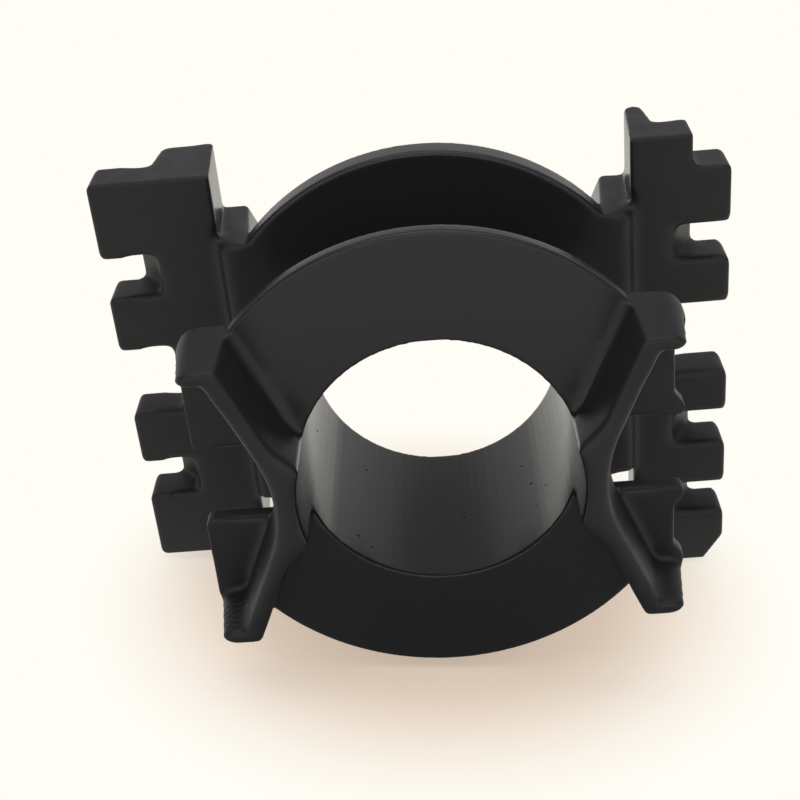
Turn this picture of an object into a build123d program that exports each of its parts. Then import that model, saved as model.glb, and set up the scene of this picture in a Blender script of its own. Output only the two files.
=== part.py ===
from build123d import *
from math import atan2, cos, radians, sin, sqrt, tan
import os

# Moulded coil former for a 32 mm class core pair with a round centre post.
# The bore runs along Y, from the front flange's face at Y = 0 to the rail flange behind it.
# X is across the two terminal rails and Z is up, with the origin on the bore's axis.

# Driving dimensions, in millimetres
BORE_D = 14.2
TUBE_WALL = 0.9
FLANGE_D = 25.7
LENGTH = 12.0
FRONT_FLANGE = 1.0
REAR_FLANGE = 1.6
RIM_EASE = 0.12

# Wings beside each flange, which carry the core seats: how far their ends and their
# upper and lower edges lie inside the flange's rim
WING_TRIM = 0.42
WING_DROP = 4.47
WING_CORNER = 1.25

# Core seat walls, V-shaped about the bore with a rounded apex that the bore cuts into
SEAT_INSET = 0.02
SEAT_SLOPE = 0.426
SEAT_APEX_RADIUS = 7.9
SEAT_THICK = 1.6
SEAT_DRAFT = 5.5
SEAT_FOOT = 0.6
CREST_ROUND = 0.25
FRONT_SEAT = 3.4
REAR_SEAT = 4.5
END_WALL = 1.05
REAR_SEAT_DRAFT = 0.8
SEAT_END_ROUND = 0.4
POCKET_ROUND = 0.6

# Flare of each wall's bore side at its apex: how high it starts, and how high it meets the bore
FLARE_START = 4.6
FLARE_END = 2.2

# Notch through each front wing
NOTCH_TOP = 1.85
NOTCH_BOTTOM = -2.45
NOTCH_INNER = 8.4
NOTCH_ROUND = 0.35

# Reliefs in the side of the front right wing, which start a lip's width above and below its
# notch and slope in and out at their ends
RELIEF_DEPTH = 0.5
RELIEF_LIP = 0.55
RELIEF_RUN = 0.7
RELIEF_FAR = 6.1
RELIEF_ROUND = 0.45

# Terminal rails, whose front lies a little behind the rear flange's front face,
# and whose right wall just covers the flange's rim
RAIL_LAP = 0.9
RAIL_COVER = 0.05
RAIL_LEAN = 0.35
RAIL_BEVEL = 0.3
TOOTH_DEPTH = 2.55
TIP_ROUND = 0.4
TIP_FRONT_ROUND = 0.2
TIP_BACK_ROUND = 0.4
SLOT_ROUND = 0.35
WIDE_GAP = 3.0
WALL_LEAN = 0.3
WALL_ROUND = 0.45
HEEL_ROUND = 0.3
VALLEY_ROUND = 0.35

# Left rail, with two pairs of teeth: its wall's thickness, how far the teeth and the back and
# front of the slot floors stand out from the wall, and the top and bottom of each tooth
LEFT_THICK = 3.68
LEFT_REACH = 3.07
LEFT_ROOT = 1.35
LEFT_GUIDE = -1.05
LEFT_TEETH = [(12.26, 7.85), (5.47, 2.1), (-2.1, -5.47), (-7.85, -12.26)]

# Right rail, likewise, with a narrow block above its first tooth and a cut corner under its last
RIGHT_THICK = 1.63
RIGHT_REACH = 3.84
RIGHT_ROOT = 2.1
RIGHT_GUIDE = 0.66
RIGHT_TEETH = [(10.45, 7.03), (5.05, 2.17), (-2.17, -4.94), (-7.03, -9.97), (-11.91, -15.5)]
BLOCK_REACH = 1.76
BLOCK_RISE = 1.88
STEP_ROUND = 0.5
FOOT_CUT = (1.15, 1.7)

# Overlap of joined solids, how far a hollow corner sinks into the faces that it joins, how far
# a cut runs past what it cuts, and the largest share of a wall that one corner's rounding takes
BURIED = 0.3
SUNK = 0.01
CLEAR = 1.0
CORNER_SHARE = 0.46

# Places that follow from the sizes above
WING_HALF_WIDTH = FLANGE_D / 2 - WING_TRIM
WING_HALF_HEIGHT = FLANGE_D / 2 - WING_DROP
RAIL_FRONT = LENGTH - RAIL_LAP
RAIL_BACK = LENGTH + REAR_SEAT
RIGHT_WALL = FLANGE_D / 2 + RAIL_COVER
RAIL_INNER = RIGHT_WALL - RIGHT_THICK
LEFT_WALL = RAIL_INNER + LEFT_THICK
RIGHT_OUTER = RIGHT_WALL + RIGHT_REACH
RAIL_CORE = RAIL_INNER + 2 * RAIL_LEAN
REAR_SEAT_REACH = RIGHT_WALL - 2 * WALL_LEAN

os.makedirs("parts", exist_ok=True)


def slab(outline, y0, y1):
    """A prism between two Y planes, from an outline drawn in X and Z."""
    plane = Plane(origin=(0, y1, 0), x_dir=(1, 0, 0), z_dir=(0, -1, 0))
    return extrude(plane * outline, amount=y1 - y0)


def column(points, z0, z1):
    """A prism along Z, from corner points in X and Y."""
    return Pos(0, 0, z0) * extrude(make_face(Polyline(*points, close=True)), amount=z1 - z0)


def rect(x0, x1, z0, z1):
    """A flat rectangle in an outline."""
    return Pos((x0 + x1) / 2, (z0 + z1) / 2) * Rectangle(x1 - x0, z1 - z0)


def seat_line(z):
    """How far out a seat wall's straight centre line is at a height."""
    return BORE_D / 2 - SEAT_INSET + SEAT_SLOPE * abs(z)


def seat_bend():
    """How far out the rounded apex of the centre line is, and how high its rounding reaches."""
    turn = atan2(SEAT_SLOPE, 1)
    return seat_line(0) + SEAT_APEX_RADIUS * (1 / cos(turn) - 1), SEAT_APEX_RADIUS * sin(turn)


def seat_path(reach):
    """The centre line of one V wall, from below to above, in a plan of X and Z."""
    apex, rise = seat_bend()
    lower = Line((seat_line(reach), -reach), (seat_line(rise), -rise))
    bend = ThreePointArc((seat_line(rise), -rise), (apex, 0), (seat_line(rise), rise))
    upper = Line((seat_line(rise), rise), (seat_line(reach), reach))
    return Wire([lower, bend, upper])


def seat_section(height):
    """A seat wall's section: its foot is rounded towards the bore, and its crest on both sides."""
    lean = height * tan(radians(SEAT_DRAFT))
    half = SEAT_THICK / 2
    wall = Polyline((-half, -BURIED), (-half, 0), (lean - half, height), (half - lean, height),
                    (half, 0), (half, -BURIED), close=True)
    wall = make_face(wall)
    crest = wall.vertices().sort_by(Axis.Y)[-2:]
    wall = fillet(crest, CREST_ROUND)
    foot = make_face(Polyline((0, -BURIED), (2 * half, -BURIED), (2 * half, 0), (0, 0), close=True))
    section = wall + foot
    inner = section.vertices().sort_by_distance((half, 0))[0]
    return fillet(inner, SEAT_FOOT)


def drafted_block(x0, x1, z0, z1, height, draft, corner):
    """A rounded block with drafted sides and a rounded crest, rising along local Z from a plan."""
    corner = min(corner, CORNER_SHARE * (x1 - x0))
    plan = Pos((x0 + x1) / 2, (z0 + z1) / 2) * RectangleRounded(x1 - x0, z1 - z0, corner)
    body = extrude(plan, amount=height, taper=draft)
    rim = body.faces().sort_by(Axis.Z)[-1].edges()
    return fillet(rim, CREST_ROUND) + Pos(0, 0, -BURIED) * extrude(plan, amount=BURIED)


def flare(height):
    """The thick apex of a seat wall, which is flared towards the bore and cut off by it."""
    apex, rise = seat_bend()
    start = Vector(seat_line(FLARE_START), FLARE_START)
    end = Vector(sqrt((BORE_D / 2) ** 2 - FLARE_END ** 2), FLARE_END)
    upper = [(apex, 0), (seat_line(rise), rise), (start.X, start.Y), (end.X, end.Y)]
    lower = [(x, -z) for x, z in reversed(upper[1:])]
    plan = make_face(Polyline(*upper, *lower, close=True))
    body = Pos(0, 0, -BURIED) * extrude(plan, amount=height + BURIED)
    middle = (start + end) / 2
    rims = [body.edges().sort_by_distance((middle.X, z, height))[0] for z in (middle.Y, -middle.Y)]
    return fillet(rims, CREST_ROUND)


def web(corner, side, other, radius):
    """The outline between a corner, sunk into its sides, and a circle that touches both of them."""
    side, other = Vector(*side).normalized(), Vector(*other).normalized()
    half = radians(side.get_angle(other)) / 2
    corner = Vector(*corner) - (side + other) * SUNK
    middle = corner + (side + other).normalized() * (radius / sin(half))
    reach = radius / tan(half)
    kite = Polyline(corner, corner + side * reach, middle, corner + other * reach, close=True)
    return make_face(kite) - Pos(middle) * Circle(radius)


def seat_corner(start, draft, side, rise):
    """Where one side of a seat wall, -1 towards the bore, meets a drafted end at a rise."""
    z = start + rise * tan(radians(draft))
    half = SEAT_THICK / 2 - rise * tan(radians(SEAT_DRAFT))
    return Vector(seat_line(z) + side * half / cos(atan2(SEAT_SLOPE, 1)), z, rise)


def seat_post(start, draft, side, radius, low, high):
    """The sliver along such a corner, outside a rounding that touches both of its sides."""
    foot, crest = seat_corner(start, draft, side, low), seat_corner(start, draft, side, high)
    outline = Pos(0, 0, low) * web((foot.X, foot.Y), (1, 0), (-SEAT_SLOPE, -1), radius)
    run = crest - foot
    return extrude(outline, amount=run.length, dir=run)


def seats(half_width, height, draft, corner):
    """The V wall on the right of the bore with its two end walls, rising along local Z."""
    path = seat_path(WING_HALF_HEIGHT + CLEAR)
    start = path % 0
    plane = Plane(origin=path @ 0, x_dir=(-start.Y, start.X, 0), z_dir=start)
    wall = sweep(plane * seat_section(height), path=path)
    foot = WING_HALF_HEIGHT - END_WALL - height * tan(radians(draft))
    end = drafted_block(seat_line(foot), half_width, foot, FLANGE_D, height, draft, corner)
    space = drafted_block(0, half_width, -WING_HALF_HEIGHT, WING_HALF_HEIGHT, height, draft, corner)
    body = (wall + flare(height) + end + mirror(end, about=Plane.XZ)) & space
    pocket = seat_post(foot, draft, 1, POCKET_ROUND, -BURIED, height - CREST_ROUND)
    body = body + pocket + mirror(pocket, about=Plane.XZ)
    tip = seat_post(WING_HALF_HEIGHT, -draft, -1, SEAT_END_ROUND, -CLEAR, height + CLEAR)
    return body - tip - mirror(tip, about=Plane.XZ)


def disc(y0, y1):
    """A round flange with both of its edges eased."""
    blank = slab(Circle(FLANGE_D / 2), y0, y1)
    return chamfer(blank.edges().filter_by(GeomType.CIRCLE), RIM_EASE)


def soften(outline, corners, radius):
    """An outline with some of its corners rounded."""
    return fillet([outline.vertices().sort_by_distance(corner)[0] for corner in corners], radius)


def wing_limits():
    """The notches and the side reliefs of the front flange's wings, as the outline that they leave."""
    limits = rect(-WING_HALF_WIDTH, WING_HALF_WIDTH, -FLANGE_D, FLANGE_D)
    limits -= rect(NOTCH_INNER, FLANGE_D, NOTCH_BOTTOM, NOTCH_TOP)
    limits -= rect(-FLANGE_D, -NOTCH_INNER, NOTCH_BOTTOM, NOTCH_TOP)
    waist = WING_HALF_WIDTH - RELIEF_DEPTH
    for edge, way in ((NOTCH_TOP, 1), (NOTCH_BOTTOM, -1)):
        lip, far = edge + way * RELIEF_LIP, way * RELIEF_FAR
        ends = [(WING_HALF_WIDTH, lip), (waist, lip + way * RELIEF_RUN), (waist, far),
                (WING_HALF_WIDTH, far + way * RELIEF_RUN)]
        limits -= make_face(Polyline((FLANGE_D, lip), *ends, (FLANGE_D, ends[-1][1]), close=True))
        limits = soften(limits, ends, RELIEF_ROUND)
    tips = [(x, z) for x in (WING_HALF_WIDTH, -WING_HALF_WIDTH) for z in (NOTCH_TOP, NOTCH_BOTTOM)]
    return soften(limits, tips, NOTCH_ROUND)


def front_flange():
    """The front flange with its wings."""
    plate = disc(0, FRONT_FLANGE)
    plate += slab(RectangleRounded(2 * WING_HALF_WIDTH, 2 * WING_HALF_HEIGHT, WING_CORNER), 0, FRONT_FLANGE)
    return plate & slab(wing_limits(), -CLEAR, FRONT_FLANGE + CLEAR)


def front_seats():
    """The seat walls of the front flange, which face away from the winding and end in rounded ears."""
    right = seats(WING_HALF_WIDTH, FRONT_SEAT, SEAT_DRAFT, WING_CORNER)
    walls = right + mirror(right, about=Plane.YZ)
    return Plane(origin=(0, 0, 0), x_dir=(1, 0, 0), z_dir=(0, -1, 0)) * walls


def rear_flange():
    """The rear flange, whose wings run into the rails with a bevel at each front edge."""
    start = LENGTH - REAR_FLANGE
    reach = RAIL_INNER + RAIL_BEVEL / 2
    edge = RAIL_INNER - RAIL_BEVEL / 2
    right = [(edge, start), (reach, RAIL_FRONT), (reach, LENGTH)]
    plan = [(-x, y) for x, y in reversed(right)] + right
    rim = disc(start, LENGTH) & column(plan, -FLANGE_D, FLANGE_D)
    return rim + column(plan, -WING_HALF_HEIGHT, WING_HALF_HEIGHT)


def rear_seats():
    """The seat walls behind the rear flange, which run into the rails."""
    right = seats(REAR_SEAT_REACH, RAIL_BACK - LENGTH, REAR_SEAT_DRAFT, CREST_ROUND)
    walls = right + mirror(right, about=Plane.YZ)
    return Plane(origin=(0, LENGTH, 0), x_dir=(1, 0, 0), z_dir=(0, 1, 0)) * walls


def spine_plan(wall):
    """The plan of the thick wall along a rail's inner side, which leans away from the bore."""
    corners = Polyline((RAIL_INNER, RAIL_FRONT), (wall, RAIL_FRONT), (wall, RAIL_FRONT + TOOTH_DEPTH),
                       (wall - WALL_LEAN, RAIL_BACK), (RAIL_INNER + RAIL_LEAN, RAIL_BACK), close=True)
    plan = make_face(corners)
    back = wall - WALL_LEAN - RAIL_INNER - RAIL_LEAN
    return fillet(plan.vertices().sort_by(Axis.Y)[-2:], min(WALL_ROUND, CORNER_SHARE * back))


def tooth(outer, wall, front_view):
    """One tooth of a rail: its front view, trimmed to a plan with rounded outer corners and heel."""
    back = RAIL_FRONT + TOOTH_DEPTH
    plan = spine_plan(wall) + rect(RAIL_CORE, outer, RAIL_FRONT, back)
    tip_front = plan.vertices().sort_by_distance((outer, RAIL_FRONT))[0]
    plan = fillet(tip_front, TIP_FRONT_ROUND)
    tip_back = plan.vertices().sort_by_distance((outer, back))[0]
    plan = fillet(tip_back, TIP_BACK_ROUND)
    heel = plan.vertices().sort_by_distance((wall, back))[0]
    plan = fillet(heel, HEEL_ROUND)
    full = Pos(0, 0, -FLANGE_D) * extrude(plan, amount=2 * FLANGE_D)
    return full & slab(front_view, 0, 2 * RAIL_BACK)


def tooth_view(outer, top, bottom):
    """The front view of a tooth, with its two outer corners rounded."""
    view = rect(RAIL_INNER, outer, bottom, top)
    return fillet(view.vertices().sort_by(Axis.X)[-2:], TIP_ROUND)


def slot_floor(guide, root, z0, z1):
    """The floor of a pin slot, which ramps outwards from the front of the rail to its back."""
    back = RAIL_FRONT + TOOTH_DEPTH
    return column([(RAIL_CORE, RAIL_FRONT), (guide, RAIL_FRONT), (root, back), (RAIL_CORE, back)], z0, z1)


def rail(outer, wall, root, guide, teeth, views):
    """A comb of teeth on a thick wall, with a ramped floor in each slot between close teeth."""
    low = min(v.bounding_box().min.Y for v in views)
    high = max(v.bounding_box().max.Y for v in views)
    comb = Pos(0, 0, low) * extrude(spine_plan(wall), amount=high - low)
    for view in views:
        comb += tooth(outer, wall, view)
    floors = []
    for upper, lower in zip(teeth, teeth[1:]):
        if upper[1] - lower[0] < WIDE_GAP:
            comb += slot_floor(guide, root, lower[0] - BURIED, upper[1] + BURIED)
            floors.append(((guide + root) / 2, RAIL_FRONT + TOOTH_DEPTH / 2, lower[0]))
    corners = [comb.edges().sort_by_distance(Vector(*spot))[0] for spot in floors]
    return fillet(corners, SLOT_ROUND)


def left_rail():
    """The left rail, drawn on the right and mirrored."""
    outer = LEFT_WALL + LEFT_REACH
    views = [tooth_view(outer, top, bottom) for top, bottom in LEFT_TEETH]
    comb = rail(outer, LEFT_WALL, LEFT_WALL + LEFT_ROOT, LEFT_WALL + LEFT_GUIDE, LEFT_TEETH, views)
    return mirror(comb, about=Plane.YZ)


def right_rail():
    """The right rail, with the block above its first tooth and the cut corner of its last."""
    views = [tooth_view(RIGHT_OUTER, top, bottom) for top, bottom in RIGHT_TEETH[:-1]]
    top, bottom = RIGHT_TEETH[-1]
    across, up = FOOT_CUT
    foot = make_face(Polyline((RAIL_INNER, bottom), (RIGHT_OUTER - across, bottom),
                              (RIGHT_OUTER, bottom + up), (RIGHT_OUTER, top), (RAIL_INNER, top), close=True))
    views.append(fillet(foot.vertices().sort_by_distance((RIGHT_OUTER, top))[0], TIP_ROUND))
    root, guide = RIGHT_WALL + RIGHT_ROOT, RIGHT_WALL + RIGHT_GUIDE
    comb = rail(RIGHT_OUTER, RIGHT_WALL, root, guide, RIGHT_TEETH, views)
    shelf = RIGHT_TEETH[0][0]
    side = RIGHT_WALL + BLOCK_REACH
    comb += tooth(side, RIGHT_WALL, rect(RAIL_INNER, side, shelf - BURIED, shelf + BLOCK_RISE))
    step = comb.edges().sort_by_distance(Vector(side, RAIL_FRONT + TOOTH_DEPTH / 2, shelf))[0]
    return fillet(step, STEP_ROUND)


def valleys():
    """The rounded corners behind the rear flange where end walls meet the leaning sides of the rails."""
    run = REAR_SEAT + RAIL_LAP - CREST_ROUND
    lean = RAIL_LEAN * run / (REAR_SEAT + RAIL_LAP)
    view = web((RAIL_INNER, WING_HALF_HEIGHT), (-1, 0), (0, 1), VALLEY_ROUND)
    slope = Vector(lean, run, -run * tan(radians(REAR_SEAT_DRAFT)))
    plane = Plane(origin=(0, RAIL_FRONT, 0), x_dir=(1, 0, 0), z_dir=(0, -1, 0))
    right = extrude(plane * view, amount=slope.length, dir=slope)
    right += mirror(right, about=Plane.XY)
    return right + mirror(right, about=Plane.YZ)


former = front_flange() + rear_flange() + slab(Circle(BORE_D / 2 + TUBE_WALL), 0, LENGTH)
former = former + front_seats() + rear_seats() + left_rail() + right_rail() + valleys()
former -= slab(Circle(BORE_D / 2), -LENGTH, 2 * LENGTH)
export_step(former, "parts/coil_former.step")

print("volume", round(former.volume, 1), "in", len(former.solids()), "solid")
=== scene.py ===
import math

import bmesh
import bpy
from bpy.props import FloatProperty, FloatVectorProperty, IntProperty, PointerProperty
from mathutils import Matrix, Vector


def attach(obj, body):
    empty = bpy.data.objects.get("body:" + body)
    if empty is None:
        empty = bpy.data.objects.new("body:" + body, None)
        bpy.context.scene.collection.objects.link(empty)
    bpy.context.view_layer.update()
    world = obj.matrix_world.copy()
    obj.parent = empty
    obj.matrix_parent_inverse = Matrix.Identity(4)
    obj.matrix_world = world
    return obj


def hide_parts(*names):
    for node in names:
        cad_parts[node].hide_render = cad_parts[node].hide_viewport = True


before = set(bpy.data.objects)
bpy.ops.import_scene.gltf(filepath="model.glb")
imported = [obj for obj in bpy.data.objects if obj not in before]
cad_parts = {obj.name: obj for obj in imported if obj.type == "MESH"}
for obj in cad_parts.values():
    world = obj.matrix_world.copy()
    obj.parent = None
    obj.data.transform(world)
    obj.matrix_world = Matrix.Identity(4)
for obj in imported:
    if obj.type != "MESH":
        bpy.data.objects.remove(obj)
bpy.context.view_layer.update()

bl_info = {
    "name": "Coil Former",
    "version": (1, 0, 0),
    "blender": (4, 5, 0),
    "location": "View3D > Sidebar > Coil Former",
    "description": "Dresses a moulded coil former and sets up its studio",
    "category": "Object",
}

MM = 0.001
NODE = "coil_former"

# The settings of a Map Range node that eases in and out, and a Mix node's sockets for colours
EASED = {"interpolation_type": "SMOOTHSTEP"}
FIRST_COLOUR, SECOND_COLOUR, MIXED_COLOUR = 6, 7, 2

# Doubled points of the CAD mesh lie closer than this, in millimetres. A round of smoothing moves
# a point this share of the way to its neighbours' middle. The moulding ends with this many
# triangles, because an STL file past 200,000 is thinned, and each face of a voxel remesh is two.
DOUBLES = 0.0005
SMOOTH_SHARE = 0.5
TRIANGLES = 195000
FACE_TRIANGLES = 2

# Places whose edges the mould leaves much rounder: the least and the greatest X, Y and Z of each,
# how far inside these limits the full rounding starts, and how strong that is. Lengths are in
# millimetres, and X counts outwards. They are the seats' apexes, the steps of the rear wings, and
# the upper and the lower ears.
ROUNDER = [
    ((6.2, -4.6, -6.5), (11.4, 0.6, 6.5), 1.0, 1.0),
    ((9.9, 9.7, -9.6), (12.9, 12.6, 9.6), 0.7, 1.0),
    ((9.6, -4.4, 4.6), (13.6, 0.4, 9.4), 0.7, 0.2),
    ((9.6, -4.4, -9.4), (13.6, 0.4, -4.6), 0.7, 0.2),
]

# The same for the backs of the rails' walls, then the top and bottom of each slot between the
# teeth, on the left side and on the right, and the slots' least and greatest X and Y
WALL_BACKS = {-1: ((11.6, 12.4, -18.0), (16.4, 18.2, 18.0), 1.2, 1.0),
              1: ((10.6, 12.4, -18.0), (14.6, 18.2, 18.0), 1.2, 0.6)}
SLOTS = {-1: ((7.85, 5.47), (2.1, -2.1), (-5.47, -7.85)),
         1: ((7.03, 5.05), (2.17, -2.17), (-4.94, -7.03), (-9.97, -11.91))}
SLOT_PLAN = ((12.3, 10.1), (16.8, 13.6))
SLOT_MARGIN = 0.6

# The refractive index: phenolic compounds have 1.5 to 1.6, and the object's gloss is a little less
PHENOLIC_IOR = 1.46

# The mould's blasted sides start between these distances to either side of the bore's axis, in
# millimetres. A face there counts as polished as far as it looks towards the bore: fully at the
# first share, and not at all at the second.
SIDES_RANGE = (7.5, 10.5)
POLISHED_FACING = (-0.9, -0.6)

# The seat walls turn rougher between these places on Y, in front of the flange's face. The polish
# of the bore ends between these radii, and its pores end at the last. All are in millimetres.
WALL_RANGE = (-0.2, -0.9)
BORE_RANGE = (7.15, 7.35)
BORE_LIMIT = 7.3

# Flow marks: their width in millimetres, how fine they are, and how much the roughness varies
FLOW_WIDTH = 1.4
FLOW_DETAIL = 2.0
FLOW_RANGE = (0.8, 1.2)

# Pores of the bore: their spacing and the radii where they begin and are full, in millimetres,
# and the depth and strength of their bump, which the ripples share
PORE_SPACING = 1.5
PORE_RANGE = (0.1125, 0.0675)
PORE_DEPTH = 0.04
PORE_STRENGTH = 0.6

# Grain of the mould's faces, in millimetres. The real one is about 0.05 mm wide, too fine to
# show, so it is drawn coarser.
GRAIN_WIDTH = 0.35
GRAIN_DETAIL = 3.0
GRAIN_DEPTH = 0.01
GRAIN_STRENGTH = 0.25

# Ripples in the pocket of the lower left seat: their middle, the distances from it where they
# begin and are full, and their pitch, in millimetres, then their height next to a pore's depth,
# and how much they waver
RIPPLE_PLACE = Vector((-11.5, -2.2, -8.0))
RIPPLE_RANGE = (2.4, 1.2)
RIPPLE_PITCH = 0.4
RIPPLE_HEIGHT = 0.65
RIPPLE_WAVER = 1.5

# The length of a wave of the wave texture at a scale of 1
WAVE_PERIOD = math.pi / 10

# Where the former touches the table, in millimetres: the lower rear corners of its two rails,
# and the front flange's rim, which is a circle about the bore's axis in the plane Y = 0
RAIL_CONTACTS = (Vector((-18.0, 13.6, -12.26)), Vector((15.6, 13.6, -15.5)))
FLANGE_RADIUS = 12.85

# The photograph's camera: its place in millimetres, its axes and its focal length
CAMERA_PLACE = Vector((1.62, -62.44, 40.10))
CAMERA_RIGHT = Vector((0.9960, 0.0009, -0.0891))
CAMERA_FORWARD = Vector((-0.0456, 0.8645, -0.5006))
FOCAL_LENGTH = 65.5
SENSOR_WIDTH = 36.0

# The table turns from cream to white between these distances from this place, in millimetres
TABLE_CENTRE = Vector((-1.0, 9.0, -13.0))
WHITE_RANGE = (10.0, 22.0)

# What the former mirrors of the table turns bright between these distances from this place. That
# brightness has the first value in front of the former and the second behind it, and changes
# over this reach to either side of the flange's face. Lengths are in millimetres.
MIRRORED_CENTRE = Vector((0.0, -8.0, -13.0))
MIRRORED_RANGE = (3.0, 34.0)
MIRRORED_BRIGHTNESS = (0.75, 1.0)
MIRRORED_REACH = 30.0

# The softboxes: place, width and height in metres, and the setting that holds the brightness
SOFTBOXES = {
    "softbox_top": (Vector((0.02, 0.02, 0.6)), 0.62, 0.62, "top_light"),
    "softbox_front": (Vector((0.0, -0.6, 0.29)), 1.2, 0.27, "front_light"),
    "softbox_back": (Vector((0.0, 0.6, 0.12)), 1.4, 0.36, "back_light"),
}


def linear(code):
    """A colour written as sRGB hex, as linear red, green, blue and alpha."""
    values = [int(code[i:i + 2], 16) / 255 for i in (1, 3, 5)]
    bent = [v / 12.92 if v <= 0.04045 else ((v + 0.055) / 1.055) ** 2.4 for v in values]
    return (*bent, 1.0)


def add_node(tree, kind, settings=None, inputs=None, links=None):
    """Adds a node with its settings, its input values and its links from other nodes' outputs."""
    node = tree.nodes.new(kind)
    for name, value in (settings or {}).items():
        setattr(node, name, value)
    for name, value in (inputs or {}).items():
        node.inputs[name].default_value = value
    for name, (source, output) in (links or {}).items():
        tree.links.new(source.outputs[output], node.inputs[name])
    return node


def new_material(name):
    """An empty node material, and its tree."""
    material = bpy.data.materials.new(name)
    material.use_nodes = True
    material.node_tree.nodes.clear()
    return material, material.node_tree


class MouldingSettings(bpy.types.PropertyGroup):
    """Sizes and colours of the black moulding."""

    grid: FloatProperty(
        name="Grid", description="Size of the grid that the edges are softened on",
        subtype="DISTANCE", unit="LENGTH", min=0.05 * MM, max=1 * MM, default=0.09 * MM)
    softening: IntProperty(
        name="Softening", description="Rounds of smoothing that soften the edges",
        min=0, max=50, default=8)
    rounding: IntProperty(
        name="Rounding",
        description="Rounds of smoothing at the places that the mould leaves much rounder",
        min=0, max=300, default=110)
    colour: FloatVectorProperty(
        name="Colour", description="Body colour of the moulding compound",
        subtype="COLOR", size=4, min=0, max=1, default=linear("#272729"))
    # Painted shade: the wings and rails get a darker copy of the body colour, where their faces
    # look darker.
    rail_shade_colour: FloatVectorProperty(
        name="Rail shade colour",
        description="Body colour of the wings and rails, painted darker where their faces show shade",
        subtype="COLOR", size=4, min=0, max=1, default=linear("#1B1B1D"))
    gloss: FloatProperty(
        name="Roughness",
        description="Roughness of the faces that the polished parts of the mould leave",
        subtype="FACTOR", min=0, max=1, default=0.26)
    bore_gloss: FloatProperty(
        name="Bore roughness", description="Roughness of the bore, which a ground core pin leaves",
        subtype="FACTOR", min=0, max=1, default=0.22)
    rail_gloss: FloatProperty(
        name="Rail roughness",
        description="Roughness of the wings, rails and seat walls that the blasted parts leave",
        subtype="FACTOR", min=0, max=1, default=0.48)


class StageSettings(bpy.types.PropertyGroup):
    """Sizes and colours of the table and its light."""

    table: FloatVectorProperty(
        name="Table", description="Colour of the table near the former",
        subtype="COLOR", size=4, min=0, max=1, default=linear("#F8E3CF"))
    mirrored_table: FloatVectorProperty(
        name="Mirrored table",
        description="Colour of the table near the former, as the former mirrors it",
        subtype="COLOR", size=4, min=0, max=1, default=linear("#A8A8A8"))
    white: FloatVectorProperty(
        name="White", description="Colour of the table further out",
        subtype="COLOR", size=4, min=0, max=1, default=linear("#FFFDF5"))
    shadow_lift: FloatProperty(
        name="Shadow lift", description="Light that the camera sees in the table's shadows",
        subtype="FACTOR", min=0, max=1, default=0.42)
    size: FloatProperty(
        name="Table size", description="Half width of the table",
        subtype="DISTANCE", unit="LENGTH", min=0.1, max=10, default=1.5)
    room_light: FloatProperty(
        name="Room light", description="Brightness of the room's even light, where 1 is white",
        min=0, max=5, default=0.32)
    top_light: FloatProperty(
        name="Top light",
        description="Brightness of the overhead softbox's face, where 1 is white",
        min=0, max=20, default=0.9)
    front_light: FloatProperty(
        name="Front light",
        description="Brightness of the low front softbox's face, where 1 is white",
        min=0, max=20, default=1.2)
    back_light: FloatProperty(
        name="Back light",
        description="Brightness of the low back softbox's face, where 1 is white",
        min=0, max=20, default=0.3)


def blasted_and_shaded_sides(tree, place, axes):
    """The wings and rails, whose faces are dull, and painted a darker shade, except those that
    look towards the bore.
    """
    side = add_node(tree, "ShaderNodeMath", {"operation": "ABSOLUTE"}, links={0: (axes, "X")})
    outer = add_node(tree, "ShaderNodeMapRange", EASED,
                     {"From Min": SIDES_RANGE[0] * MM, "From Max": SIDES_RANGE[1] * MM},
                     {"Value": (side, "Value")})
    facing = add_node(tree, "ShaderNodeSeparateXYZ", links={"Vector": (place, "Normal")})
    hand = add_node(tree, "ShaderNodeMath", {"operation": "SIGN"}, links={0: (axes, "X")})
    outwards = add_node(tree, "ShaderNodeMath", {"operation": "MULTIPLY"},
                        links={0: (facing, "X"), 1: (hand, "Value")})
    blasted = add_node(tree, "ShaderNodeMapRange", EASED,
                       {"From Min": POLISHED_FACING[0], "From Max": POLISHED_FACING[1]},
                       {"Value": (outwards, "Value")})
    return add_node(tree, "ShaderNodeMath", {"operation": "MULTIPLY"},
                    links={0: (outer, "Result"), 1: (blasted, "Result")})


def blasted_walls(tree, axes, inside):
    """The seat walls, which are dull where they stand clear of the flange, outside the bore."""
    proud = add_node(tree, "ShaderNodeMapRange", EASED,
                     {"From Min": WALL_RANGE[0] * MM, "From Max": WALL_RANGE[1] * MM},
                     {"Value": (axes, "Y")})
    return add_node(tree, "ShaderNodeMath", {"operation": "SUBTRACT", "use_clamp": True},
                    links={0: (proud, "Result"), 1: (inside, "Value")})


def bore_pores(tree, place, inside):
    """Small open pores, which the ground face of the bore shows as dark specks."""
    cells = add_node(tree, "ShaderNodeTexVoronoi", inputs={"Scale": 1 / (PORE_SPACING * MM)},
                     links={"Vector": (place, "Object")})
    pit = add_node(tree, "ShaderNodeMapRange", EASED,
                   {"From Min": PORE_RANGE[0] / PORE_SPACING,
                    "From Max": PORE_RANGE[1] / PORE_SPACING},
                   {"Value": (cells, "Distance")})
    return add_node(tree, "ShaderNodeMath", {"operation": "MULTIPLY"},
                    links={0: (pit, "Result"), 1: (inside, "Value")})


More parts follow.
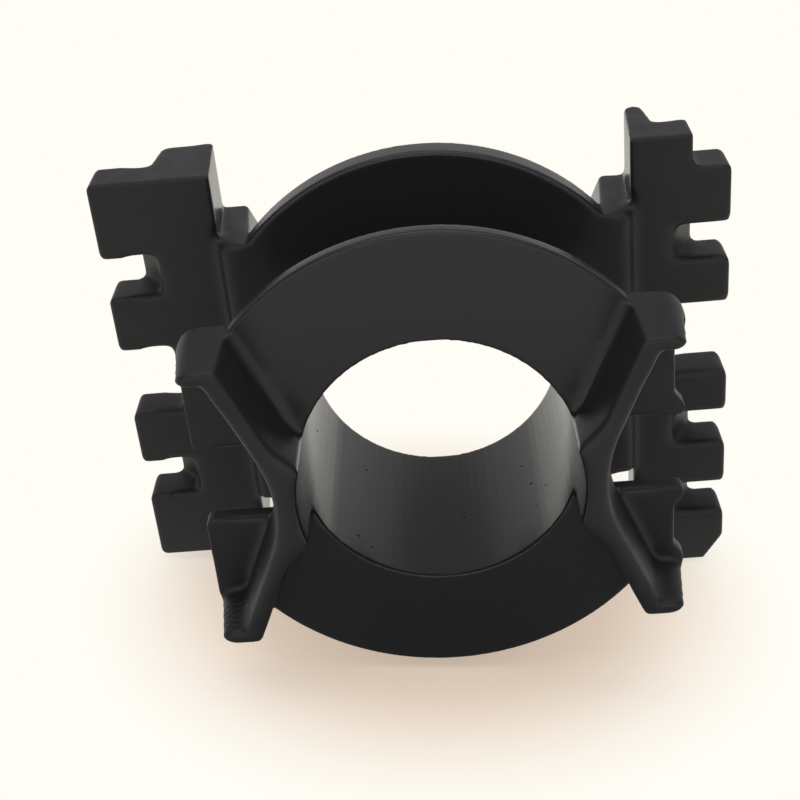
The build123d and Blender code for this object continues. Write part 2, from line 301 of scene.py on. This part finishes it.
def seat_ripples(tree, place):
    """Fine ripples, which the compound left as it set in the pocket of the lower left seat."""
    wave = add_node(tree, "ShaderNodeTexWave", {"bands_direction": "Y"},
                    {"Scale": WAVE_PERIOD / (RIPPLE_PITCH * MM), "Distortion": RIPPLE_WAVER},
                    {"Vector": (place, "Object")})
    away = add_node(tree, "ShaderNodeVectorMath", {"operation": "DISTANCE"},
                    {1: RIPPLE_PLACE * MM}, {0: (place, "Object")})
    near = add_node(tree, "ShaderNodeMapRange", EASED,
                    {"From Min": RIPPLE_RANGE[0] * MM, "From Max": RIPPLE_RANGE[1] * MM,
                     "To Max": RIPPLE_HEIGHT},
                    {"Value": (away, "Value")})
    return add_node(tree, "ShaderNodeMath", {"operation": "MULTIPLY"},
                    links={0: (wave, "Fac"), 1: (near, "Result")})


def phenolic_material(settings):
    """Mineral-filled phenolic, compression moulded: black and semi-gloss."""
    # The mould's polished parts give the flanges and the bore a soft mirror with faint flow
    # marks, and its blasted parts leave the wings, rails and seat walls duller. The wings and
    # rails also get a darker body colour, which is painted shade.
    material, tree = new_material("moulded_phenolic")
    place = add_node(tree, "ShaderNodeTexCoord")
    axes = add_node(tree, "ShaderNodeSeparateXYZ", links={"Vector": (place, "Object")})
    flat = add_node(tree, "ShaderNodeCombineXYZ", links={"X": (axes, "X"), "Z": (axes, "Z")})
    radius = add_node(tree, "ShaderNodeVectorMath", {"operation": "LENGTH"},
                      links={0: (flat, "Vector")})
    inside = add_node(tree, "ShaderNodeMath", {"operation": "LESS_THAN"}, {1: BORE_LIMIT * MM},
                      {0: (radius, "Value")})
    sides = blasted_and_shaded_sides(tree, place, axes)
    walls = blasted_walls(tree, axes, inside)
    pores = bore_pores(tree, place, inside)
    ripples = seat_ripples(tree, place)

    polished = add_node(tree, "ShaderNodeMapRange", EASED,
                        {"From Min": BORE_RANGE[0] * MM, "From Max": BORE_RANGE[1] * MM,
                         "To Min": settings.bore_gloss, "To Max": settings.gloss},
                        {"Value": (radius, "Value")})
    blasted = add_node(tree, "ShaderNodeMath", {"operation": "MAXIMUM"},
                       links={0: (sides, "Value"), 1: (walls, "Value")})
    even = add_node(tree, "ShaderNodeMapRange", inputs={"To Max": settings.rail_gloss},
                    links={"Value": (blasted, "Value"), "To Min": (polished, "Result")})
    flow = add_node(tree, "ShaderNodeTexNoise",
                    inputs={"Scale": 1 / (FLOW_WIDTH * MM), "Detail": FLOW_DETAIL},
                    links={"Vector": (place, "Object")})
    marks = add_node(tree, "ShaderNodeMapRange",
                     inputs={"To Min": FLOW_RANGE[0], "To Max": FLOW_RANGE[1]},
                     links={"Value": (flow, "Fac")})
    marked = add_node(tree, "ShaderNodeMath", {"operation": "MULTIPLY"},
                      links={0: (even, "Result"), 1: (marks, "Result")})
    roughness = add_node(tree, "ShaderNodeMath", {"operation": "MAXIMUM"},
                         links={0: (marked, "Value"), 1: (pores, "Value")})

    grain = add_node(tree, "ShaderNodeTexNoise",
                     inputs={"Scale": 1 / (GRAIN_WIDTH * MM), "Detail": GRAIN_DETAIL},
                     links={"Vector": (place, "Object")})
    grained = add_node(tree, "ShaderNodeBump",
                       inputs={"Strength": GRAIN_STRENGTH, "Distance": GRAIN_DEPTH * MM},
                       links={"Height": (grain, "Fac")})
    height = add_node(tree, "ShaderNodeMath", {"operation": "SUBTRACT"},
                      links={0: (ripples, "Value"), 1: (pores, "Value")})
    relief = add_node(tree, "ShaderNodeBump",
                      inputs={"Strength": PORE_STRENGTH, "Distance": PORE_DEPTH * MM},
                      links={"Height": (height, "Value"), "Normal": (grained, "Normal")})
    # Painted shade: the wings and rails take the darker rail colour in place of the body colour.
    body = add_node(tree, "ShaderNodeMix", {"data_type": "RGBA"},
                    {FIRST_COLOUR: settings.colour, SECOND_COLOUR: settings.rail_shade_colour},
                    {"Factor": (sides, "Value")})
    shader = add_node(tree, "ShaderNodeBsdfPrincipled", inputs={"IOR": PHENOLIC_IOR},
                      links={"Base Color": (body, MIXED_COLOUR),
                             "Roughness": (roughness, "Value"), "Normal": (relief, "Normal")})
    add_node(tree, "ShaderNodeOutputMaterial", links={"Surface": (shader, "BSDF")})
    return material


def rounder_boxes(hand):
    """The limits of the places that are much rounder on the left side, -1, or on the right, 1."""
    low, high = SLOT_PLAN
    slots = [((*low, bottom - SLOT_MARGIN), (*high, top + SLOT_MARGIN), SLOT_MARGIN, 1.0)
             for top, bottom in SLOTS[hand]]
    return ROUNDER + [WALL_BACKS[hand]] + slots


def share_inside(point, box):
    """How much of a box's rounding a point gets: none at its limits and all of it further in."""
    low, high, margin, strength = box
    inside = min(min(value - least, most - value) for value, least, most in zip(point, low, high))
    return strength * min(1.0, max(0.0, inside / margin))


def mark_rounder(carrier):
    """Gives the points of a mesh a weight where it is to be much rounder."""
    group = carrier.vertex_groups.new(name="rounder")
    boxes = {hand: rounder_boxes(hand) for hand in SLOTS}
    least = min(box[0][0] for box in ROUNDER)
    for vertex in carrier.data.vertices:
        x, y, z = vertex.co / MM
        if abs(x) > least:
            share = max(share_inside((abs(x), y, z), box) for box in boxes[1 if x > 0 else -1])
            if share > 0:
                group.add([vertex.index], share, "REPLACE")


def finished_mesh(mesh, modifiers, prepare=None):
    """A mesh with a list of modifiers applied, each with its type and settings."""
    carrier = bpy.data.objects.new("carrier", mesh)
    bpy.context.scene.collection.objects.link(carrier)
    if prepare:
        prepare(carrier)
    for kind, settings in modifiers:
        modifier = carrier.modifiers.new(kind, kind)
        for name, value in settings.items():
            setattr(modifier, name, value)
    graph = bpy.context.evaluated_depsgraph_get()
    finished = bpy.data.meshes.new_from_object(carrier.evaluated_get(graph))
    bpy.data.objects.remove(carrier)
    return finished


def softened_moulding(settings):
    """The moulding with all its edges and corners softened, as they leave the mould."""
    shape = bmesh.new()
    shape.from_mesh(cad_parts[NODE].data)
    bmesh.ops.remove_doubles(shape, verts=shape.verts, dist=DOUBLES * MM)
    mesh = bpy.data.meshes.new(NODE)
    shape.to_mesh(mesh)
    shape.free()
    mesh = finished_mesh(mesh, [
        ("REMESH", {"mode": "VOXEL", "voxel_size": settings.grid}),
        ("SMOOTH", {"factor": SMOOTH_SHARE, "iterations": settings.softening})])
    mesh = finished_mesh(mesh, [
        ("SMOOTH", {"factor": SMOOTH_SHARE, "iterations": settings.rounding,
                    "vertex_group": "rounder"})], mark_rounder)
    ratio = TRIANGLES / (FACE_TRIANGLES * len(mesh.polygons))
    mesh = finished_mesh(mesh, [("DECIMATE", {"ratio": ratio})])
    mesh.shade_smooth()
    mesh.materials.clear()
    moulding = bpy.data.objects.new("moulding", mesh)
    bpy.context.scene.collection.objects.link(moulding)
    return moulding


class FORMER_OT_moulding(bpy.types.Operator):
    """Makes the moulding, with soft edges and its material."""

    bl_idname = "former.moulding"
    bl_label = "Moulding"

    def execute(self, context):
        settings = context.scene.former_moulding
        moulding = softened_moulding(settings)
        moulding.data.materials.append(phenolic_material(settings))
        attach(moulding, "root")
        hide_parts(NODE)
        return {"FINISHED"}


def table_normal():
    """The table's upward direction, from the three places where the former touches it."""
    left, right = RAIL_CONTACTS
    along = right - left
    across = Vector((-along.z, 0, along.x)).normalized()
    front = -FLANGE_RADIUS * across
    return along.cross(left - front).normalized()


def table_material(settings):
    """Matt cream card near the former, and plain white further out."""
    # Near the former the camera sees a warm, soft shadow, and further out plain white. The former
    # mirrors a neutral grey close by, and white sooner.
    material, tree = new_material("cream_card")
    place = add_node(tree, "ShaderNodeTexCoord")
    path = add_node(tree, "ShaderNodeLightPath")
    shares = []
    for centre, (start, end) in ((TABLE_CENTRE, WHITE_RANGE), (MIRRORED_CENTRE, MIRRORED_RANGE)):
        away = add_node(tree, "ShaderNodeVectorMath", {"operation": "DISTANCE"},
                        {1: centre * MM}, {0: (place, "Object")})
        shares.append(add_node(tree, "ShaderNodeMapRange", EASED,
                               {"From Min": start * MM, "From Max": end * MM},
                               {"Value": (away, "Value")}))
    seen = add_node(tree, "ShaderNodeMath", {"operation": "MULTIPLY"},
                    links={0: (shares[0], "Result"), 1: (path, "Is Camera Ray")})
    mirrored = add_node(tree, "ShaderNodeMath", {"operation": "MULTIPLY"},
                        links={0: (shares[1], "Result"), 1: (path, "Is Glossy Ray")})
    share = add_node(tree, "ShaderNodeMath", {"operation": "MAXIMUM"},
                     links={0: (seen, "Value"), 1: (mirrored, "Value")})
    colour = add_node(tree, "ShaderNodeMix", {"data_type": "RGBA"},
                      {FIRST_COLOUR: settings.mirrored_table, SECOND_COLOUR: settings.table},
                      {"Factor": (path, "Is Camera Ray")})
    matt = add_node(tree, "ShaderNodeBsdfDiffuse", links={"Color": (colour, MIXED_COLOUR)})
    lift = add_node(tree, "ShaderNodeMath", {"operation": "MULTIPLY"}, {1: settings.shadow_lift},
                    {0: (path, "Is Camera Ray")})
    glow = add_node(tree, "ShaderNodeEmission", inputs={"Color": settings.table},
                    links={"Strength": (lift, "Value")})
    near = add_node(tree, "ShaderNodeAddShader", links={0: (matt, "BSDF"), 1: (glow, "Emission")})
    axes = add_node(tree, "ShaderNodeSeparateXYZ", links={"Vector": (place, "Object")})
    behind = add_node(tree, "ShaderNodeMapRange", EASED,
                      {"From Min": -MIRRORED_REACH * MM, "From Max": MIRRORED_REACH * MM,
                       "To Min": MIRRORED_BRIGHTNESS[0], "To Max": MIRRORED_BRIGHTNESS[1]},
                      {"Value": (axes, "Y")})
    bright = add_node(tree, "ShaderNodeMath", {"operation": "MAXIMUM"},
                      links={0: (behind, "Result"), 1: (path, "Is Camera Ray")})
    white = add_node(tree, "ShaderNodeEmission", inputs={"Color": settings.white},
                     links={"Strength": (bright, "Value")})
    surface = add_node(tree, "ShaderNodeMixShader",
                       links={0: (share, "Value"), 1: (near, "Shader"), 2: (white, "Emission")})
    add_node(tree, "ShaderNodeOutputMaterial", links={"Surface": (surface, "Shader")})
    return material


def add_table(settings, moulding):
    """A flat table under the former, which touches its lowest point."""
    up = table_normal()
    drop = min(up.dot(v.co) for v in moulding.data.vertices)
    shape = bmesh.new()
    bmesh.ops.create_grid(shape, x_segments=1, y_segments=1, size=settings.size)
    turn = up.to_track_quat("Z", "Y").to_matrix().to_4x4()
    bmesh.ops.transform(shape, matrix=Matrix.Translation(up * drop) @ turn, verts=shape.verts)
    mesh = bpy.data.meshes.new("table")
    shape.to_mesh(mesh)
    shape.free()
    table = bpy.data.objects.new("table", mesh)
    bpy.context.scene.collection.objects.link(table)
    mesh.materials.append(table_material(settings))
    return table


def add_camera():
    """The camera of the photograph."""
    data = bpy.data.cameras.new("camera")
    data.lens = FOCAL_LENGTH
    data.sensor_width = SENSOR_WIDTH
    data.clip_start = 1 * MM
    camera = bpy.data.objects.new("camera", data)
    bpy.context.scene.collection.objects.link(camera)
    forward = CAMERA_FORWARD.normalized()
    up = CAMERA_RIGHT.cross(forward).normalized()
    right = forward.cross(up)
    turn = Matrix((right, up, -forward)).transposed().to_4x4()
    camera.matrix_world = Matrix.Translation(CAMERA_PLACE * MM) @ turn
    bpy.context.scene.camera = camera


def add_world(settings):
    """A pale room: a plain soft light from all round."""
    world = bpy.data.worlds.new("pale_room")
    bpy.context.scene.world = world
    world.use_nodes = True
    tree = world.node_tree
    tree.nodes.clear()
    path = add_node(tree, "ShaderNodeLightPath")
    bright = add_node(tree, "ShaderNodeMath", {"operation": "MAXIMUM"}, {1: settings.room_light},
                      {0: (path, "Is Camera Ray")})
    colour = add_node(tree, "ShaderNodeMix", {"data_type": "RGBA"},
                      {FIRST_COLOUR: linear("#FFFFFF"), SECOND_COLOUR: settings.white},
                      {"Factor": (path, "Is Camera Ray")})
    light = add_node(tree, "ShaderNodeBackground",
                     links={"Color": (colour, MIXED_COLOUR), "Strength": (bright, "Value")})
    add_node(tree, "ShaderNodeOutputWorld", links={"Surface": (light, "Background")})


def add_softboxes(settings):
    """A large softbox overhead and low ones in front and behind, which no camera sees."""
    lamps = []
    for name, (place, width, height, light) in SOFTBOXES.items():
        data = bpy.data.lights.new(name, "AREA")
        data.shape = "RECTANGLE"
        data.size = width
        data.size_y = height
        data.energy = getattr(settings, light) * math.pi * width * height
        lamp = bpy.data.objects.new(name, data)
        bpy.context.scene.collection.objects.link(lamp)
        lamp.location = place
        lamp.rotation_euler = place.to_track_quat("Z", "Y").to_euler()
        lamp.visible_camera = False
        lamps.append(lamp)
    return lamps


class FORMER_OT_stage(bpy.types.Operator):
    """Sets up the table, the light and the camera."""

    bl_idname = "former.stage"
    bl_label = "Stage"

    def execute(self, context):
        settings = context.scene.former_stage
        add_table(settings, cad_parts[NODE])
        add_softboxes(settings)
        add_world(settings)
        add_camera()
        context.scene.view_settings.view_transform = "Standard"
        return {"FINISHED"}


class FORMER_PT_panel(bpy.types.Panel):
    """Lists the former's settings and steps."""

    bl_idname = "FORMER_PT_panel"
    bl_label = "Coil Former"
    bl_space_type = "VIEW_3D"
    bl_region_type = "UI"
    bl_category = "Coil Former"

    def draw(self, context):
        for step in ("moulding", "stage"):
            settings = getattr(context.scene, "former_" + step)
            box = self.layout.box()
            for prop in settings.__annotations__:
                box.prop(settings, prop)
            box.operator("former." + step)


CLASSES = (MouldingSettings, StageSettings, FORMER_OT_moulding, FORMER_OT_stage, FORMER_PT_panel)


def register():
    """Registers the classes and adds the settings to the scene."""
    for cls in CLASSES:
        bpy.utils.register_class(cls)
    bpy.types.Scene.former_moulding = PointerProperty(type=MouldingSettings)
    bpy.types.Scene.former_stage = PointerProperty(type=StageSettings)


def unregister():
    """Removes the settings and the classes."""
    del bpy.types.Scene.former_stage
    del bpy.types.Scene.former_moulding
    for cls in reversed(CLASSES):
        bpy.utils.unregister_class(cls)


def main():
    """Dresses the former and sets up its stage."""
    register()
    bpy.ops.former.moulding()
    bpy.ops.former.stage()


if __name__ == "__main__":
    main()
